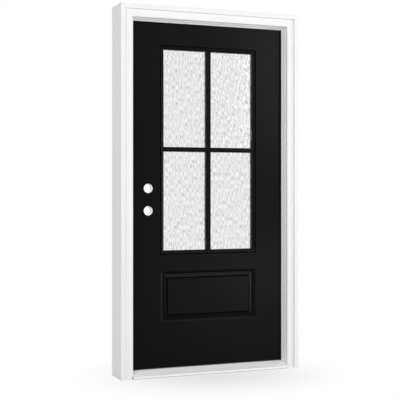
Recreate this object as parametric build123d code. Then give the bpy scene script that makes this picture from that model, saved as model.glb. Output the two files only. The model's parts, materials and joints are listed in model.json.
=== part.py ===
"""Prehung fiberglass entry door: a slab with a four-light window in a cased frame.

Millimetres. The outside faces -Y, +X is to the right seen from outside and +Z is up.
The origin is on the underside of the sill, in the plane of the jambs' outside edge.
"""

import os

from build123d import *

# Slab
slab_width = 974.4
slab_height = 2006.6
slab_thickness = 44.45
skin_thickness = 2.0
stile_width = 38.1
top_rail_height = 38.1
bottom_rail_height = 57.2

# Layout of the slab's face, measured from its edges
stile_face = 181.4
top_rail_face = 143.5
light_bottom = 648.3
lock_rail_face = 93.9
panel_stile_face = 187.6
panel_bottom = 260.7

# Frame: the jambs end flush with the slab, and extension boards line the wall behind them
slab_recess = 32.0
jamb_rabbet = 12.7
jamb_round = 2.0
slab_gap = 5.0
seal_space = 12.0
extension_depth = 71.0
extension_setback = 19.0

# Brickmould casing: a raised outer band, a quirk, a flat and an ovolo at the inner edge
casing_width = 74.0
casing_thickness = 31.75
casing_reveal = 6.0
casing_overhang = 1.5
band_width = 28.0
band_step = 8.0
band_round = 3.0
quirk_width = 2.5
quirk_depth = 2.0
casing_ovolo = 7.0

# Weatherstrip, a bulb on the stop's shoulder with a tongue in the jamb's kerf
seal_gap = 0.6
seal_show = 8.5
seal_round = 4.0
kerf_width = 3.0
kerf_depth = 9.0
kerf_clearance = 0.3

# Sill: an aluminium deck on a base, and a cap that the sweep runs over
slab_bottom = 46.1
deck_thickness = 2.0
deck_lip = 13.0
deck_setback = 6.0
deck_round = 1.5
deck_foot = 3.0
rib_count = 4
rib_inset = 16.0
rib_pitch = 12.0
rib_depth = 0.8
cap_thickness = 11.0
cap_depth = 44.0
cap_round = 2.5
base_back_drop = 6.0
sill_clearance = 0.5

# Sweep under the slab
sweep_height = 4.6
sweep_gap = 0.6
sweep_flange = 2.5
fin_thickness = 2.4
fin_inset = 5.0

# Window
bead_width = 25.0
bead_lip = 1.5
bead_quirk_width = 5.0
bead_quirk_depth = 4.5
bead_shoulder = 8.5
bead_fall = 5.5
bead_step = 4.0
bead_step_drop = 1.5
bead_crown = 1.2
pane_thickness = 4.0
pane_space = 17.4
pane_edge_gap = 3.0
spacer_inset = 2.0
spacer_width = 9.0
bar_width = 27.0
bar_thickness = 8.0
bar_ovolo = 5.0
bar_rise = 5.0

# Moulding round the panel: a step, a fall into a valley, a rise and a groove round the field
mould_width = 43.0
mould_depth = 11.0
mould_step = 1.5
mould_fall = 14.0
mould_valley = 4.0
mould_crown = 1.5
field_groove_width = 7.0
field_groove_depth = 6.0
field_groove_lip = 2.0

# Bores for a lockset and a deadbolt
bore_radius = 26.99
edge_bore_radius = 12.7
backset = 110.6
bore_spacing = 129.2
lockset_height = 904.7
lock_block_web = 6.0
lock_block_height = 420.0
latch_strike_depth = 20.0
deadbolt_strike_depth = 32.0

# Hinges
hinge_height = 101.6
hinge_leaf_thickness = 2.5
hinge_leaf_width = 38.0
hinge_corner = 15.9
hinge_inset = 180.0
knuckle_radius = 7.15
knuckle_count = 5
knuckle_gap = 0.4
pin_radius = 4.0
pin_clearance = 0.05
pin_stand_off = 7.6
pin_tail = 1.0
pin_head_radius = 6.6
pin_head_height = 3.5
pin_head_chamfer = 1.2
mortise_clearance = 0.2

# Places that follow from the sizes above
slab_half = slab_width / 2
slab_top = slab_bottom + slab_height
slab_outside = slab_recess
slab_inside = slab_outside + slab_thickness
jamb_depth = slab_inside
frame_depth = jamb_depth + extension_depth
slab_middle = (slab_inside + slab_outside) / 2
core_outside = slab_outside + skin_thickness
core_inside = slab_inside - skin_thickness

rabbet_half = slab_half + slab_gap
stop_half = rabbet_half - jamb_rabbet
stop_top = slab_top + slab_gap - jamb_rabbet
stop_depth = slab_outside - seal_space
kerf_near = (jamb_rabbet - kerf_width) / 2
kerf_far = kerf_near + kerf_width
casing_inner = casing_reveal
casing_outer = casing_reveal + casing_width
jamb_outer = casing_outer - casing_overhang
jamb_top = stop_top + jamb_outer
extension_half = rabbet_half + extension_setback
extension_low = stop_top + jamb_rabbet + extension_setback

light_half = slab_half - stile_face
light_low = slab_bottom + light_bottom
light_high = slab_top - top_rail_face
bar_height = (light_low + light_high) / 2 + bar_rise
glass_thickness = 2 * pane_thickness + pane_space
glass_outside = slab_middle - glass_thickness / 2
bead_depth = glass_outside - slab_outside

panel_half = slab_half - panel_stile_face
panel_low = slab_bottom + panel_bottom
panel_high = light_low - lock_rail_face

bore_x = backset - slab_half
lockset_z = slab_bottom + lockset_height
deadbolt_z = lockset_z + bore_spacing
bore_heights = (lockset_z, deadbolt_z)

pin_x = slab_half + slab_gap / 2
pin_y = slab_inside + pin_stand_off
hinge_middles = {
    "lower": slab_bottom + hinge_inset + hinge_height / 2,
    "middle": slab_bottom + slab_height / 2,
    "upper": slab_top - hinge_inset - hinge_height / 2,
}

deck_back = slab_outside - deck_setback
cap_top = slab_bottom - sweep_height - sweep_gap
deck_high = cap_top - sill_clearance
cap_low = cap_top - cap_thickness
cap_front = deck_back + sill_clearance
cap_back = cap_front + cap_depth


def block(x0, x1, y0, y1, z0, z1):
    """A box between two corners."""
    centre = Pos((x0 + x1) / 2, (y0 + y1) / 2, (z0 + z1) / 2)
    return centre * Box(x1 - x0, y1 - y0, z1 - z0)


def rod(start, axis, radius, length):
    """A cylinder that leaves a point along an axis."""
    return extrude(Plane(origin=start, z_dir=axis) * Circle(radius), length)


def outline(points, rounds=()):
    """A flat face inside straight lines, with some of its corners rounded."""
    face = make_face(Polyline(points, close=True))
    for corner, radius in rounds:
        vertex = face.vertices().sort_by_distance(Vector(*corner))[0]
        face = fillet(vertex, radius)
    return face


def run(section, start, out, along, distance):
    """A straight length of a section whose first axis points out and whose second is Y."""
    return extrude(Plane(origin=start, x_dir=out, z_dir=along) * section, distance)


def level_run(section, half):
    """A length along X of a section of (y, z) points, with its middle at X zero."""
    plane = Plane(origin=(-half, 0, 0), x_dir=(0, 1, 0), z_dir=(1, 0, 0))
    return extrude(plane * section, 2 * half)


def latch_side(part):
    """The same piece on the latch side."""
    return mirror(part, about=Plane.YZ)


def inside_face(part):
    """The same piece on the slab's inside face."""
    return mirror(part, about=Plane(origin=(0, slab_middle, 0), z_dir=(0, 1, 0)))


def mitred_frame(section, half, low, high, reach):
    """Lengths round a rectangle, right, left, top and bottom, of a section that reaches out from it."""
    right = run(section, (half, 0, low - reach), (1, 0, 0), (0, 0, 1), high - low + 2 * reach)
    top = run(section, (half + reach, 0, high), (0, 0, 1), (-1, 0, 0), 2 * (half + reach))
    for corner, up in ((high, 1), (low, -1)):
        mitre = Plane(origin=(half, 0, corner), z_dir=(1, 0, -up))
        right = split(right, bisect_by=mitre, keep=Keep.TOP)
    for side in (-1, 1):
        mitre = Plane(origin=(side * half, 0, high), z_dir=(-side, 0, 1))
        top = split(top, bisect_by=mitre, keep=Keep.TOP)
    bottom = mirror(top, about=Plane(origin=(0, 0, (low + high) / 2), z_dir=(0, 0, 1)))
    return right, latch_side(right), top, bottom


def cased_opening(section, foot):
    """Two legs that stand on a level and a head, mitred, round the opening between the stops."""
    leg, _, head, _ = mitred_frame(section, stop_half, -stop_top, stop_top, casing_outer)
    leg = split(leg, bisect_by=Plane(origin=(0, 0, foot)), keep=Keep.TOP)
    return leg, latch_side(leg), head


def jamb_section():
    points = [
        (0, 0),
        (0, stop_depth),
        (kerf_near, stop_depth),
        (kerf_near, stop_depth - kerf_depth),
        (kerf_far, stop_depth - kerf_depth),
        (kerf_far, stop_depth),
        (jamb_rabbet, stop_depth),
        (jamb_rabbet, jamb_depth),
        (jamb_outer, jamb_depth),
        (jamb_outer, 0),
    ]
    return outline(points, [((0, 0), jamb_round)])


def casing_section():
    face = -casing_thickness
    flat = face + band_step
    band = casing_outer - band_width
    points = [
        (casing_inner, 0),
        (casing_inner, flat),
        (band - quirk_width, flat),
        (band - quirk_width / 2, flat + quirk_depth),
        (band, flat),
        (band, face),
        (casing_outer, face),
        (casing_outer, 0),
    ]
    rounds = [
        ((casing_inner, flat), casing_ovolo),
        ((band, face), band_round),
        ((casing_outer, face), band_round),
    ]
    return outline(points, rounds)


def seal_section():
    front = stop_depth
    back = slab_outside - seal_gap
    tip = front - kerf_depth + kerf_clearance
    near = kerf_near + kerf_clearance
    far = kerf_far - kerf_clearance
    heel = jamb_rabbet - kerf_clearance
    points = [
        (-seal_show, front),
        (-seal_show, back),
        (heel, back),
        (heel, front),
        (far, front),
        (far, tip),
        (near, tip),
        (near, front),
    ]
    rounds = [((-seal_show, front), seal_round), ((-seal_show, back), seal_round)]
    return outline(points, rounds)


def side_jamb():
    return run(jamb_section(), (stop_half, 0, 0), (1, 0, 0), (0, 0, 1), jamb_top)


def latch_jamb():
    """The deadbolt's strike bore is the deeper one, because its bolt has the longer throw."""
    jamb = latch_side(side_jamb())
    for height, depth in ((lockset_z, latch_strike_depth), (deadbolt_z, deadbolt_strike_depth)):
        jamb -= rod((-rabbet_half, slab_middle, height), (-1, 0, 0), edge_bore_radius, depth)
    return jamb


def hinge_jamb():
    jamb = side_jamb()
    for middle in hinge_middles.values():
        jamb -= leaf_plate(rabbet_half, 1, middle, mortise_clearance)
    return jamb


def side_jamb_bulk():
    """Both side jambs with kerfs filled and edges square, to fit other pieces between."""
    points = [
        (0, 0),
        (0, stop_depth),
        (jamb_rabbet, stop_depth),
        (jamb_rabbet, jamb_depth),
        (casing_outer, jamb_depth),
        (casing_outer, 0),
    ]
    bulk = run(outline(points), (stop_half, 0, 0), (1, 0, 0), (0, 0, 1), 2 * jamb_top)
    return bulk + latch_side(bulk)


def head_jamb():
    """The head fits between the side jambs, coped to their rabbets."""
    far = stop_half + jamb_outer
    head = run(jamb_section(), (far, 0, stop_top), (0, 0, 1), (-1, 0, 0), 2 * far)
    return head - side_jamb_bulk()


def side_extension():
    outer = stop_half + jamb_outer
    return block(extension_half, outer, jamb_depth, frame_depth, 0, jamb_top)


def head_extension():
    return block(-extension_half, extension_half, jamb_depth, frame_depth, extension_low, jamb_top)


def weatherstrips():
    """Two legs that stand on the sill's cap, and a head whose tongue ends at the side jambs."""
    hinge, latch, head = cased_opening(seal_section(), cap_top + sill_clearance)
    return hinge, latch, head - side_jamb_bulk()


def sill_length(section):
    """A length of sill, notched round the casing legs and the stops."""
    half = rabbet_half - sill_clearance
    length = level_run(section, half)
    casing_near = stop_half + casing_inner - sill_clearance
    stop_near = stop_half - sill_clearance
    notches = (
        block(casing_near, rabbet_half, -casing_thickness, 0, 0, slab_bottom),
        block(stop_near, rabbet_half, -sill_clearance, stop_depth + sill_clearance, 0, slab_bottom),
    )
    for notch in notches:
        length -= notch
        length -= latch_side(notch)
    return length


def deck_height(y):
    """Height of the deck's slope."""
    return deck_lip + (deck_high - deck_lip) * (y + casing_thickness) / (deck_back + casing_thickness)


def sill_deck():
    front = -casing_thickness
    points = [
        (front, deck_foot),
        (front, deck_lip),
        (deck_back, deck_high),
        (deck_back, deck_high - deck_thickness),
        (front + deck_thickness, deck_lip - deck_thickness),
        (front + deck_thickness, deck_foot),
    ]
    section = outline(points, [((front, deck_lip), deck_round)])
    for number in range(rib_count):
        y = front + rib_inset + number * rib_pitch
        tip = (y, deck_height(y) - rib_depth)
        groove = [(y - rib_depth, deck_height(y - rib_depth)), tip, (y + rib_depth, deck_height(y + rib_depth))]
        section -= outline(groove)
    return sill_length(section)


def sill_base():
    front = deck_thickness - casing_thickness
    points = [
        (front, 0),
        (front, deck_lip - deck_thickness),
        (deck_back, deck_high - deck_thickness),
        (deck_back, cap_low),
        (cap_back + sill_clearance, cap_low),
        (cap_back + sill_clearance, cap_top - base_back_drop),
        (jamb_depth + sill_clearance, cap_top - base_back_drop),
        (jamb_depth + sill_clearance, 0),
    ]
    half = extension_half - sill_clearance
    back = block(-half, half, jamb_depth + sill_clearance, frame_depth, 0, cap_top - base_back_drop)
    back = fillet(back.edges().filter_by(Axis.X).group_by(Axis.Z)[-1].sort_by(Axis.Y)[-1], cap_round)
    return sill_length(outline(points)) + back


def sill_cap():
    points = [(cap_front, cap_low), (cap_front, cap_top), (cap_back, cap_top), (cap_back, cap_low)]
    rounds = [((cap_front, cap_top), cap_round), ((cap_back, cap_top), cap_round)]
    return sill_length(outline(points, rounds))


def leaf_plate(near, direction, middle, growth):
    """A hinge leaf's plate let into an edge, with its two far corners rounded."""
    far = near + direction * hinge_leaf_thickness
    half = hinge_height / 2 + growth
    plate = block(
        min(near, far),
        max(near, far),
        slab_inside - hinge_leaf_width - growth,
        slab_inside,
        middle - half,
        middle + half,
    )
    corners = plate.edges().filter_by(Axis.X).group_by(Axis.Y)[0]
    return fillet(corners, hinge_corner)


def hinge_leaf(near, direction, middle, first):
    """A leaf with every second knuckle, from the first, round the pin."""
    leaf = leaf_plate(near, direction, middle, 0)
    low = middle - hinge_height / 2
    pitch = hinge_height / knuckle_count
    neck = min(near, near + direction * hinge_leaf_thickness)
    for number in range(first, knuckle_count, 2):
        z0 = low + number * pitch + knuckle_gap / 2
        z1 = z0 + pitch - knuckle_gap
        leaf += rod((pin_x, pin_y, z0), (0, 0, 1), knuckle_radius, z1 - z0)
        leaf += block(neck, neck + hinge_leaf_thickness, slab_inside, pin_y, z0, z1)
    return leaf - rod((pin_x, pin_y, low), (0, 0, 1), pin_radius + pin_clearance, hinge_height)


def hinge_pin(middle):
    low = middle - hinge_height / 2 - pin_tail
    head = middle + hinge_height / 2 + knuckle_gap
    pin = rod((pin_x, pin_y, low), (0, 0, 1), pin_radius, head - low)
    cap = rod((pin_x, pin_y, head), (0, 0, 1), pin_head_radius, pin_head_height)
    return pin + chamfer(cap.edges().group_by(Axis.Z)[-1], pin_head_chamfer)


def cross_bores():
    bores = [rod((bore_x, 0, height), (0, 1, 0), bore_radius, jamb_depth) for height in bore_heights]
    return bores[0] + bores[1]


def edge_bores():
    edge = -slab_half
    bores = [rod((edge, slab_middle, height), (1, 0, 0), edge_bore_radius, backset) for height in bore_heights]
    return bores[0] + bores[1]


def light_cut():
    return block(-light_half, light_half, 0, jamb_depth, light_low, light_high)


def mould_section(growth):
    """The air in the panel's moulding, from its outer edge inwards, grown into the slab."""
    valley = mould_fall + mould_valley
    groove = mould_width - field_groove_width
    fall = SagittaArc((0, mould_step), (-mould_fall, mould_depth), mould_crown)
    lines = Polyline(
        (-mould_fall, mould_depth),
        (-valley, mould_depth),
        (-groove, field_groove_lip),
        (-(groove + mould_width) / 2, field_groove_depth),
        (-mould_width, 0),
        (0, 0),
        (0, mould_step),
    )
    air = make_face(fall + lines)
    if growth:
        room = Pos(-mould_width / 2, mould_depth) * Rectangle(2 * mould_width, 2 * mould_depth)
        air = offset(air, growth, kind=Kind.INTERSECTION) & room
    return air


def panel_mould(growth):
    """The moulding's four mitred lengths as one ring, in the slab's outside face."""
    ring = mitred_frame(mould_section(growth), panel_half, panel_low, panel_high, 2 * skin_thickness)
    return Pos(0, slab_outside, 0) * (ring[0] + ring[1] + ring[2] + ring[3])


def moulded_skin():
    skin = block(-slab_half, slab_half, slab_outside, core_outside, slab_bottom, slab_top)
    skin += panel_mould(skin_thickness)
    skin -= panel_mould(0)
    return skin - light_cut() - cross_bores()


def hinge_mortises():
    cuts = [leaf_plate(slab_half, -1, middle, mortise_clearance) for middle in hinge_middles.values()]
    return cuts[0] + cuts[1] + cuts[2]


def stile():
    return block(slab_half - stile_width, slab_half, core_outside, core_inside, slab_bottom, slab_top)


def rail(z0, z1):
    half = slab_half - stile_width
    return block(-half, half, core_outside, core_inside, z0, z1)


def lock_block():
    left = stile_width - slab_half
    right = -light_half - lock_block_web
    middle = (lockset_z + deadbolt_z) / 2
    half = lock_block_height / 2
    return block(left, right, core_outside, core_inside, middle - half, middle + half)


def foam_core():
    core = rail(slab_bottom + bottom_rail_height, slab_top - top_rail_height)
    mould = panel_mould(skin_thickness)
    core -= mould
    core -= inside_face(mould)
    return core - light_cut() - lock_block()


def bead_section():
    """A glazing bead, from the cut-out's edge inwards, with its depth from the slab's face."""
    foot = bead_step - bead_width
    fall = SagittaArc((-bead_shoulder, 0), (foot, bead_fall), bead_crown)
    lines = Polyline(
        (foot, bead_fall),
        (foot, bead_fall + bead_step_drop),
        (-bead_width, bead_fall + bead_step_drop),
        (-bead_width, bead_depth),
        (0, bead_depth),
        (0, 0),
        (-bead_lip, 0),
        (-bead_lip - bead_quirk_width / 2, bead_quirk_depth),
        (-bead_lip - bead_quirk_width, 0),
        (-bead_shoulder, 0),
    )
    return make_face(fall + lines)


def glazing_beads():
    beads = mitred_frame(bead_section(), light_half, light_low, light_high, 0)
    names = ("hinge_bead", "latch_bead", "top_bead", "bottom_bead")
    return {name: Pos(0, slab_outside, 0) * bead for name, bead in zip(names, beads)}


def pane(y0):
    half = light_half - pane_edge_gap
    return block(-half, half, y0, y0 + pane_thickness, light_low + pane_edge_gap, light_high - pane_edge_gap)


def glass_spacer():
    y0 = glass_outside + pane_thickness
    y1 = y0 + pane_space
    outer = pane_edge_gap + spacer_inset
    inner = outer + spacer_width
    ring = block(outer - light_half, light_half - outer, y0, y1, light_low + outer, light_high - outer)
    return ring - block(inner - light_half, light_half - inner, y0, y1, light_low + inner, light_high - inner)


def grille():
    """An upright bar and a level one on the outer pane, with rounded front edges."""
    half = bar_width / 2
    front = glass_outside - bar_thickness
    points = [(-half, glass_outside), (-half, front), (half, front), (half, glass_outside)]
    section = outline(points, [((-half, front), bar_ovolo), ((half, front), bar_ovolo)])
    low = light_low + bead_width
    reach = light_half - bead_width
    upright = run(section, (0, 0, low), (1, 0, 0), (0, 0, 1), light_high - bead_width - low)
    level = run(section, (reach, 0, bar_height), (0, 0, 1), (-1, 0, 0), 2 * reach)
    return upright.fuse(level)


def door_sweep():
    """A flange under the slab with three fins that run on the sill's cap."""
    low = slab_bottom - sweep_height
    flange_low = slab_bottom - sweep_flange
    sweep = block(-slab_half, slab_half, core_outside, core_inside, flange_low, slab_bottom)
    for y in (core_outside + fin_inset, slab_middle, core_inside - fin_inset):
        half = fin_thickness / 2
        sweep += block(-slab_half, slab_half, y - half, y + half, low, flange_low)
    return sweep


def frame_nodes():
    hinge_casing, latch_casing, head_casing = cased_opening(casing_section(), 0)
    hinge_seal, latch_seal, head_seal = weatherstrips()
    return {
        "latch_jamb": latch_jamb(),
        "hinge_jamb": hinge_jamb(),
        "head_jamb": head_jamb(),
        "latch_extension": latch_side(side_extension()),
        "hinge_extension": side_extension(),
        "head_extension": head_extension(),
        "latch_brickmould": latch_casing,
        "hinge_brickmould": hinge_casing,
        "head_brickmould": head_casing,
        "latch_weatherstrip": latch_seal,
        "hinge_weatherstrip": hinge_seal,
        "head_weatherstrip": head_seal,
        "sill_deck": sill_deck(),
        "sill_base": sill_base(),
        "sill_cap": sill_cap(),
    }


def slab_nodes():
    skin = moulded_skin()
    return {
        "exterior_skin": skin,
        "interior_skin": inside_face(skin) - hinge_mortises(),
        "latch_stile": latch_side(stile()) - edge_bores(),
        "hinge_stile": stile() - hinge_mortises(),
        "top_rail": rail(slab_top - top_rail_height, slab_top),
        "bottom_rail": rail(slab_bottom, slab_bottom + bottom_rail_height),
        "lock_block": lock_block() - cross_bores() - edge_bores(),
        "foam_core": foam_core(),
        "door_sweep": door_sweep(),
    }


def window_nodes():
    bars = grille()
    nodes = {
        "outer_pane": pane(glass_outside),
        "inner_pane": pane(glass_outside + pane_thickness + pane_space),
        "glass_spacer": glass_spacer(),
        "exterior_grille": bars,
        "interior_grille": inside_face(bars),
    }
    for name, bead in glazing_beads().items():
        nodes["exterior_" + name] = bead
        nodes["interior_" + name] = inside_face(bead)
    return nodes


def hinge_nodes():
    nodes = {}
    for name, middle in hinge_middles.items():
        nodes[name + "_hinge_jamb_leaf"] = hinge_leaf(rabbet_half, 1, middle, 0)
        nodes[name + "_hinge_door_leaf"] = hinge_leaf(slab_half, -1, middle, 1)
        nodes[name + "_hinge_pin"] = hinge_pin(middle)
    return nodes


os.makedirs("parts", exist_ok=True)
for group in (frame_nodes(), slab_nodes(), window_nodes(), hinge_nodes()):
    for node, part in group.items():
        export_step(part, f"parts/{node}.step")
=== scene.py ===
"""Looks of a prehung entry door: a black slab with a four-light window in a white cased frame."""

import json
import math

import bmesh
import bpy
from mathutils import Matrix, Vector, noise


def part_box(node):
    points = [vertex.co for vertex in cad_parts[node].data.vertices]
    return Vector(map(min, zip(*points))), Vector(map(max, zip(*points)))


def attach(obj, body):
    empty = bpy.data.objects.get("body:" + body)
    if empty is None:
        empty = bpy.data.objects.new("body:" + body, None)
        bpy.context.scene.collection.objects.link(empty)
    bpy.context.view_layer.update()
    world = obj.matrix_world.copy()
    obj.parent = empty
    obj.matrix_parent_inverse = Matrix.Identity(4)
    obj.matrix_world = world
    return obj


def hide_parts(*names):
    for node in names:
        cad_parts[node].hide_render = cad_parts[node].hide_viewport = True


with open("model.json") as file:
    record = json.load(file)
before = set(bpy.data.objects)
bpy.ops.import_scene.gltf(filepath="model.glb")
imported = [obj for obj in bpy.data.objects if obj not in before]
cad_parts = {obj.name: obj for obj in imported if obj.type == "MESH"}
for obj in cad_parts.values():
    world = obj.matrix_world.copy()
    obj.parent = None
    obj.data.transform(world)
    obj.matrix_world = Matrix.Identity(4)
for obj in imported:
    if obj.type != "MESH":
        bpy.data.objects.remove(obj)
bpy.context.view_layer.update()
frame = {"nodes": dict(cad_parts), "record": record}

# Camera, in metres and degrees, with its lens in millimetres
CAMERA_PLACE = (-2.205, -5.360, 1.0755)
CAMERA_TURN = -21.93
CAMERA_LENS = 89.11
CAMERA_SHIFT = (-0.00892, -0.02716)

# Studio, in metres: the floor's glow rises from its first share to its second over the reach,
# so near the object the floor is greyer: painted shade round it, besides the real cast shadow
FLOOR_HALF = 40.0
FLOOR_GLOW = (0.68, 1.0)
FLOOR_GLOW_REACH = (0.1, 0.8)
FLOOR_GLOW_STRETCH = (0.9, 1.0, 1.0)
AMBIENT = 0.285
LAMP_AIM = (0.0, 0.0, 1.1)
LAMPS = {
    "key_lamp": {"place": (4.4, -6.8, 2.9), "size": (1.0, 2.6), "watts": 109.0},
    "side_lamp": {"place": (7.5, -2.4, 0.7), "size": (0.9, 1.7), "watts": 250.0},
    "top_lamp": {"place": (4.2, -7.5, 7.6), "size": (2.0, 2.0), "watts": 155.0},
    "fill_lamp": {"place": (-5.9, -4.9, 3.0), "size": (3.0, 2.4), "watts": 280.0},
    "low_lamp": {"place": (2.1, -3.8, 0.2), "size": (1.0, 0.28), "watts": 13.0},
    "back_lamp": {"place": (1.0, 5.2, 6.8), "size": (3.0, 3.0), "watts": 300.0},
}

# Glass, in metres: the plain panes' waves, and the outer pane's ripples with their lean and grid
WAVE_DEPTH = 0.0001
RIPPLE_DEPTH = 0.0003
RIPPLE_SIZE = (0.005, 0.024)
RIPPLE_SLANT = 0.18
RIPPLE_CELL = (0.0022, 0.006)

# Shares of the ripples' height, how much finer the small ripples are, and where their noise starts
RIPPLE_MIDDLE = 0.55
RIPPLE_LARGE = 0.8
RIPPLE_SMALL = 0.2
RIPPLE_FINER = 2.3
RIPPLE_SMALL_PLACE = (7.0, 3.0, 5.0)

# Fasteners, in metres, with each hinge screw's height from the middle and inset from the inside face
SLAB_GAP = 0.005
SCREW_RADIUS = 0.0042
SCREW_PROUD = 0.0003
SCREW_RECESS = 0.0012
SCREW_CROSS = 0.0026
SCREW_SLOT = 0.0009
SCREW_SIDES = 32
HINGE_SCREWS = ((-0.038, 0.012), (-0.014, 0.025), (0.014, 0.012), (0.038, 0.025))
CAP_SCREWS = (-0.42, -0.14, 0.14, 0.42)


def linear(code):
    """Linear colour from an sRGB hex code."""
    channels = [int(code[i:i + 2], 16) / 255 for i in (1, 3, 5)]
    return [c / 12.92 if c <= 0.04045 else ((c + 0.055) / 1.055) ** 2.4 for c in channels] + [1.0]


def per_metre(*sizes_mm):
    """Pattern scale along each axis for features of these real sizes."""
    return [1000 / size for size in sizes_mm]


def add(tree, kind, inputs=None, **settings):
    """Adds a node with its settings, and each input as a value or a link from another node's output."""
    made = tree.nodes.new("ShaderNode" + kind)
    for name, value in settings.items():
        setattr(made, name, value)
    for socket, value in (inputs or {}).items():
        if isinstance(value, bpy.types.NodeSocket):
            tree.links.new(value, made.inputs[socket])
        else:
            made.inputs[socket].default_value = value
    return made


def surface(name, inputs):
    """A new material with one principled shader, whose constant values are set on its own sockets."""
    material = bpy.data.materials.new(name)
    material.use_nodes = True
    tree = material.node_tree
    shader = tree.nodes["Principled BSDF"]
    for socket, value in inputs.items():
        shader.inputs[socket].default_value = value
    return material, tree, shader


def pattern(tree, sizes_mm, detail):
    """Noise whose features have real sizes along the object's own axes."""
    place = add(tree, "TexCoord").outputs["Object"]
    scaled = add(tree, "Mapping", {"Vector": place, "Scale": per_metre(*sizes_mm)})
    return add(tree, "TexNoise", {"Vector": scaled.outputs[0], "Scale": 1.0, "Detail": detail}).outputs[0]


def tint(tree, shader, factor, dark, light):
    """Base colour that varies between two colours with a pattern."""
    mixed = add(tree, "MixRGB", {"Fac": factor, "Color1": linear(dark), "Color2": linear(light)})
    tree.links.new(mixed.outputs[0], shader.inputs["Base Color"])


def relief(tree, shader, height, depth_mm, edge_mm):
    """Fine relief over edges that are eased by a real radius."""
    eased = add(tree, "Bevel", {"Radius": edge_mm / 1000}, samples=4)
    bump = add(tree, "Bump", {"Height": height, "Distance": depth_mm / 1000, "Normal": eased.outputs[0]})
    tree.links.new(bump.outputs[0], shader.inputs["Normal"])


def rough_range(tree, shader, factor, low, high):
    """Roughness that varies with a pattern."""
    ranged = add(tree, "MapRange", {"Value": factor, "To Min": low, "To Max": high})
    tree.links.new(ranged.outputs[0], shader.inputs["Roughness"])


def satin_white_paint():
    """Acrylic paint sprayed on moulded trim: even white with a soft sheen and eased edges."""
    material, tree, shader = surface("satin_white_paint", {"IOR": 1.47})
    tint(tree, shader, pattern(tree, (180, 180, 400), 2), "#EAEAE9", "#EFEFEE")
    rough_range(tree, shader, pattern(tree, (60, 60, 120), 3), 0.38, 0.46)
    relief(tree, shader, pattern(tree, (1.6, 1.6, 1.6), 2), 0.02, 0.8)
    return material


def foam_weatherstrip():
    """Vinyl skin over foam: soft matte white with a slight pucker."""
    material, tree, shader = surface("foam_weatherstrip", {"Roughness": 0.55, "IOR": 1.45})
    tint(tree, shader, pattern(tree, (40, 40, 90), 2), "#E6E6E4", "#EEEEEC")
    relief(tree, shader, pattern(tree, (5, 5, 9), 2), 0.1, 0.8)
    return material


def anodised_aluminium():
    """Extruded aluminium with a clear anodic film: the film scatters light, so the metal looks pale and
    satin, with fine die streaks along its length."""
    material, tree, shader = surface("anodised_aluminium", {"Metallic": 0.12})
    streaks = pattern(tree, (700, 2.5, 2.5), 4)
    tint(tree, shader, streaks, "#EDEDEE", "#F8F8F8")
    rough_range(tree, shader, streaks, 0.36, 0.5)
    relief(tree, shader, streaks, 0.03, 0.6)
    return material


def wood_composite():
    """Wood-filled plastic: matte grey with a faint grain along its length."""
    material, tree, shader = surface("wood_composite", {"Roughness": 0.6, "IOR": 1.5})
    grain = pattern(tree, (120, 2, 2), 4)
    tint(tree, shader, grain, "#A9A7A3", "#BDBBB7")
    relief(tree, shader, grain, 0.05, 0.8)
    return material


def satin_black_paint():
    """Factory paint on a smooth fiberglass skin: near-black, a low even sheen and slight orange peel.

    The sheen is set weaker than the real paint's, because the white surroundings would turn the
    black grey.
    """
    material, tree, shader = surface("satin_black_paint", {"IOR": 1.5, "Specular IOR Level": 0.055})
    tint(tree, shader, pattern(tree, (260, 260, 500), 2), "#050507", "#070709")
    rough_range(tree, shader, pattern(tree, (90, 90, 160), 3), 0.29, 0.33)
    relief(tree, shader, pattern(tree, (2.2, 2.2, 2.2), 2), 0.03, 0.7)
    return material


def painted_stile_wood():
    """Laminated wood painted black: an upright grain shows faintly through the paint."""
    material, tree, shader = surface("painted_stile_wood", {"Roughness": 0.5, "IOR": 1.5})
    grain = pattern(tree, (2.5, 2.5, 140), 4)
    tint(tree, shader, grain, "#111112", "#171718")
    relief(tree, shader, grain, 0.06, 0.7)
    return material


def white_composite():
    """Cellular plastic blocking: bright white, matte, with a sawn face."""
    material, tree, shader = surface("white_composite", {"Roughness": 0.7, "IOR": 1.47})
    tint(tree, shader, pattern(tree, (8, 8, 8), 3), "#F0F0EE", "#F8F8F6")
    relief(tree, shader, pattern(tree, (2, 2, 2), 3), 0.05, 0.4)
    return material


def polyurethane_foam():
    """Foamed core: pale yellow with fine cells."""
    material, tree, shader = surface("polyurethane_foam", {"Roughness": 0.9, "IOR": 1.4})
    cells = pattern(tree, (1.5, 1.5, 1.5), 3)
    tint(tree, shader, cells, "#D9CDA2", "#E9DFBC")
    relief(tree, shader, cells, 0.3, 0.4)
    return material


def rolled_glass():
    """Obscure glass rolled with short upright ripples.

    Before a plain white background the ripples bend nothing dark into view, so the hollows carry painted
    shade:
    a grey tint in place of the darker things that real ripples bend into view.
    """
    values = {"Transmission Weight": 1.0, "Roughness": 0.04, "IOR": 1.52}
    material, tree, shader = surface("rolled_glass", values)
    height = add(tree, "Attribute", attribute_name="ripple").outputs["Fac"]
    # Painted shade: the grey end of this tint darkens the ripples' hollows, the white end is the clear
    # glass.
    tint(tree, shader, height, "#8E8F8F", "#FFFFFF")
    return material


def float_glass():
    """Float glass: clear and nearly colourless, with very slight waves."""
    values = {"Transmission Weight": 1.0, "Roughness": 0.01, "IOR": 1.52}
    material, tree, shader = surface("float_glass", values)
    waves = pattern(tree, (90, 90, 220), 1)
    tint(tree, shader, waves, "#F8F9F8", "#FBFBFB")
    bump = add(tree, "Bump", {"Height": waves, "Distance": WAVE_DEPTH})
    tree.links.new(bump.outputs[0], shader.inputs["Normal"])
    return material


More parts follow.
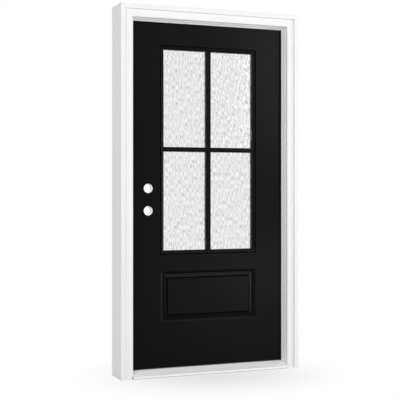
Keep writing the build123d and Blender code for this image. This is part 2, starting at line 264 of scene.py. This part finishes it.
def spacer_aluminium():
    """Rolled strip round the sealed glass: dull grey metal with faint streaks."""
    material, tree, shader = surface("spacer_aluminium", {"Metallic": 1.0})
    streaks = pattern(tree, (40, 2, 40), 2)
    tint(tree, shader, streaks, "#8C8D8F", "#9C9D9F")
    rough_range(tree, shader, streaks, 0.4, 0.5)
    return material


def sweep_rubber():
    """Extruded synthetic rubber: matte black with faint drag lines."""
    material, tree, shader = surface("sweep_rubber", {"Roughness": 0.75, "IOR": 1.5})
    lines = pattern(tree, (300, 2, 2), 3)
    tint(tree, shader, lines, "#161616", "#1E1E1E")
    relief(tree, shader, lines, 0.05, 0.3)
    return material


def satin_nickel():
    """Plated steel brushed along its length: a warm grey metal with a soft streaked glint."""
    material, tree, shader = surface("satin_nickel", {"Metallic": 1.0})
    brushed = pattern(tree, (0.8, 0.8, 40), 3)
    tint(tree, shader, brushed, "#AFA9A0", "#C6C1B9")
    rough_range(tree, shader, brushed, 0.26, 0.38)
    relief(tree, shader, brushed, 0.01, 0.3)
    return material


def dress_nodes(nickel):
    """Gives every carried-over solid the finish of its material slot, and the lock block a white one."""
    finishes = {
        "white_trim": satin_white_paint(),
        "white_seal": foam_weatherstrip(),
        "sill_aluminium": anodised_aluminium(),
        "sill_composite": wood_composite(),
        "black_fiberglass": satin_black_paint(),
        "stile_wood": painted_stile_wood(),
        "core": polyurethane_foam(),
        "obscure_glass": float_glass(),
        "spacer_metal": spacer_aluminium(),
        "sweep_rubber": sweep_rubber(),
        "hinge_steel": nickel,
    }
    for part in frame["record"]["subparts"]:
        node = frame["nodes"][part["node"]]
        node.material_slots[0].material = finishes[part["material_slot"]]
    frame["nodes"]["lock_block"].material_slots[0].material = white_composite()


def placed(name, mesh, finish, body):
    """A finished mesh as a piece that moves with a body."""
    data = bpy.data.meshes.new(name)
    mesh.to_mesh(data)
    mesh.free()
    data.materials.append(finish)
    piece = bpy.data.objects.new(name, data)
    bpy.context.collection.objects.link(piece)
    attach(piece, body)
    return piece


def cross_outline():
    """Corners of a cross recess, in order round its outline."""
    long = SCREW_CROSS
    thin = SCREW_SLOT / 2
    quarter = [(long, -thin), (long, thin), (thin, thin)]
    corners = []
    for turn in range(4):
        for u, v in quarter:
            for _ in range(turn):
                u, v = -v, u
            corners.append((u, v))
    return corners


def screw_head(mesh, centre, right, up):
    """One flat screw head with a cross recess, facing along right cross up."""
    out = right.cross(up)

    def ring(points, height):
        verts = [mesh.verts.new(centre + right * u + up * v + out * height) for u, v in points]
        return verts, [mesh.edges.new((a, b)) for a, b in zip(verts, verts[1:] + verts[:1])]

    def wall(upper, lower):
        for i in range(len(upper)):
            j = (i + 1) % len(upper)
            mesh.faces.new((upper[i], lower[i], lower[j], upper[j]))

    angles = [2 * math.pi * i / SCREW_SIDES for i in range(SCREW_SIDES)]
    circle = [(SCREW_RADIUS * math.cos(a), SCREW_RADIUS * math.sin(a)) for a in angles]
    rim, rim_edges = ring(circle, SCREW_PROUD)
    foot, _ = ring(circle, 0)
    mouth, mouth_edges = ring(cross_outline(), SCREW_PROUD)
    floor, _ = ring(cross_outline(), SCREW_PROUD - SCREW_RECESS)
    bmesh.ops.triangle_fill(mesh, edges=rim_edges + mouth_edges, use_beauty=True)
    wall(rim, foot)
    wall(mouth, floor)
    mesh.faces.new(floor)
    mesh.faces.new(foot)


def screws(name, heads, body, finish):
    """A row of screw heads as one piece that moves with a body."""
    mesh = bmesh.new()
    for centre, right, up in heads:
        screw_head(mesh, Vector(centre), Vector(right), Vector(up))
    bmesh.ops.recalc_face_normals(mesh, faces=mesh.faces)
    placed(name, mesh, finish, body)


def hinge_screws(nickel):
    """Four screws in a zigzag on each leaf of each hinge."""
    slab_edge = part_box("exterior_skin")[1].x
    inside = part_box("interior_skin")[1].y
    leaves = (("jamb", "frame", slab_edge + SLAB_GAP, -1), ("door", "door", slab_edge, 1))
    for hinge in ("lower", "middle", "upper"):
        for leaf, body, face, facing in leaves:
            low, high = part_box(f"{hinge}_hinge_{leaf}_leaf")
            middle = (low.z + high.z) / 2
            heads = []
            for height, inset in HINGE_SCREWS:
                heads.append(((face, inside - inset, middle + height), (0, facing, 0), (0, 0, 1)))
            screws(f"{hinge}_hinge_{leaf}_screws", heads, body, nickel)


def cap_screws(nickel):
    """Screws along the sill's cap that set its height under the sweep."""
    low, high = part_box("sill_cap")
    middle = (low.y + high.y) / 2
    heads = [((x, middle, high.z), (1, 0, 0), (0, 1, 0)) for x in CAP_SCREWS]
    screws("sill_cap_screws", heads, "frame", nickel)


def ripple_height(x, z):
    """Height of the ripples, from zero in the hollows to one on the crests."""
    across, along = RIPPLE_SIZE
    place = Vector(((x + RIPPLE_SLANT * z) / across, 0.0, z / along))
    large = noise.noise(place)
    small = noise.noise(place * RIPPLE_FINER + Vector(RIPPLE_SMALL_PLACE))
    return min(max(RIPPLE_MIDDLE + RIPPLE_LARGE * large + RIPPLE_SMALL * small, 0.0), 1.0)


def ripple_vert(mesh, x, y, z, height):
    """A vertex that keeps its ripple height, which sets the painted shade in the glass's hollows."""
    vert = mesh.verts.new((x, y, z))
    vert[mesh.verts.layers.float["ripple"]] = height
    return vert


def ripple_grid(mesh, low, high):
    """The rippled face, as columns of vertices with smooth faces between them."""
    across = round((high.x - low.x) / RIPPLE_CELL[0])
    up = round((high.z - low.z) / RIPPLE_CELL[1])
    columns = []
    for i in range(across + 1):
        x = low.x + (high.x - low.x) * i / across
        column = []
        for j in range(up + 1):
            z = low.z + (high.z - low.z) * j / up
            height = ripple_height(x, z)
            y = high.y - RIPPLE_DEPTH * (1 - height)
            column.append(ripple_vert(mesh, x, y, z, height))
        columns.append(column)
    for near, far in zip(columns, columns[1:]):
        for j in range(up):
            face = mesh.faces.new((near[j], far[j], far[j + 1], near[j + 1]))
            face.smooth = True
    return columns


def border(columns):
    """The vertices round a grid's edge, in order."""
    left = columns[0][:-1]
    top = [column[-1] for column in columns[:-1]]
    right = columns[-1][:0:-1]
    bottom = [column[0] for column in columns[:0:-1]]
    return left + top + right + bottom


def rippled_pane():
    """The outer pane with ripples rolled into the face that looks into the sealed space."""
    low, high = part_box("outer_pane")
    mesh = bmesh.new()
    mesh.verts.layers.float.new("ripple")
    back = border(ripple_grid(mesh, low, high))
    front = [ripple_vert(mesh, vert.co.x, low.y, vert.co.z, 1.0) for vert in back]
    mesh.faces.new(front)
    for i in range(len(front)):
        mesh.faces.new((front[i - 1], front[i], back[i], back[i - 1]))
    bmesh.ops.recalc_face_normals(mesh, faces=mesh.faces)
    piece = placed("rippled_pane", mesh, rolled_glass(), "door")
    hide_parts("outer_pane")


def seen_directly(tree):
    """One for rays from the camera and through gloss or glass, which see the plain background."""
    path = add(tree, "LightPath").outputs
    seen = add(tree, "Math", {0: path["Is Camera Ray"], 1: path["Is Glossy Ray"]}, operation="MAXIMUM")
    both = add(tree, "Math", {0: seen.outputs[0], 1: path["Is Transmission Ray"]}, operation="MAXIMUM")
    return both.outputs[0]


def studio_world():
    """Even ambient light, with a white background where it is seen."""
    world = bpy.data.worlds.new("studio")
    world.use_nodes = True
    bpy.context.scene.world = world
    tree = world.node_tree
    tree.nodes.clear()
    ambient = add(tree, "Background", {"Color": linear("#FFFFFF"), "Strength": AMBIENT})
    white = add(tree, "Background", {"Color": linear("#FFFFFF"), "Strength": 1.0})
    mixed = add(tree, "MixShader", {0: seen_directly(tree), 1: ambient.outputs[0], 2: white.outputs[0]})
    add(tree, "OutputWorld", {"Surface": mixed.outputs[0]})


def studio_floor():
    """A pale floor that glows to white where it is seen and keeps the object's shadow, with painted shade
    where its glow weakens near the object.
    """
    bpy.ops.mesh.primitive_plane_add(size=2 * FLOOR_HALF)
    floor = bpy.context.object
    floor.name = "studio_floor"
    material = bpy.data.materials.new("pale_floor")
    material.use_nodes = True
    tree = material.node_tree
    tree.nodes.clear()
    matte = add(tree, "BsdfDiffuse", {"Color": linear("#C8C8C8")})
    glow = add(tree, "Emission", {"Color": linear("#FFFFFF"), "Strength": 1.0})
    place = add(tree, "TexCoord").outputs["Object"]
    spread = add(tree, "VectorMath", {0: place, 1: FLOOR_GLOW_STRETCH}, operation="MULTIPLY")
    reach = add(tree, "VectorMath", {0: spread.outputs[0]}, operation="LENGTH")
    values = {
        "Value": reach.outputs["Value"],
        "From Min": FLOOR_GLOW_REACH[0],
        "From Max": FLOOR_GLOW_REACH[1],
        "To Min": FLOOR_GLOW[0],
        "To Max": FLOOR_GLOW[1],
    }
    # Painted shade: the glow's share is lower near the object, so the floor greys round it even where no
    # shadow falls.
    glow_share_with_painted_shade = add(tree, "MapRange", values, interpolation_type="SMOOTHSTEP")
    share = add(tree, "Math", {0: seen_directly(tree), 1: glow_share_with_painted_shade.outputs[0]}, operation="MULTIPLY")
    mixed = add(tree, "MixShader", {0: share.outputs[0], 1: matte.outputs[0], 2: glow.outputs[0]})
    add(tree, "OutputMaterial", {"Surface": mixed.outputs[0]})
    floor.data.materials.append(material)


def studio_lamps():
    """Soft lamps at the front right, at the side, high and low, a fill from the left and one behind."""
    for name, values in LAMPS.items():
        data = bpy.data.lights.new(name, "AREA")
        data.shape = "RECTANGLE"
        data.size, data.size_y = values["size"]
        data.energy = values["watts"]
        lamp = bpy.data.objects.new(name, data)
        lamp.location = values["place"]
        aim = Vector(LAMP_AIM) - Vector(values["place"])
        lamp.rotation_euler = aim.to_track_quat("-Z", "Y").to_euler()
        bpy.context.collection.objects.link(lamp)


def camera():
    """A level camera to the left of the door."""
    data = bpy.data.cameras.new("camera")
    data.lens = CAMERA_LENS
    data.shift_x, data.shift_y = CAMERA_SHIFT
    view = bpy.data.objects.new("camera", data)
    view.location = CAMERA_PLACE
    view.rotation_euler = (math.radians(90), 0, math.radians(CAMERA_TURN))
    bpy.context.collection.objects.link(view)
    bpy.context.scene.camera = view


bpy.context.scene.view_settings.view_transform = "Standard"
nickel = satin_nickel()
dress_nodes(nickel)
rippled_pane()
hinge_screws(nickel)
cap_screws(nickel)
studio_world()
studio_floor()
studio_lamps()
camera()
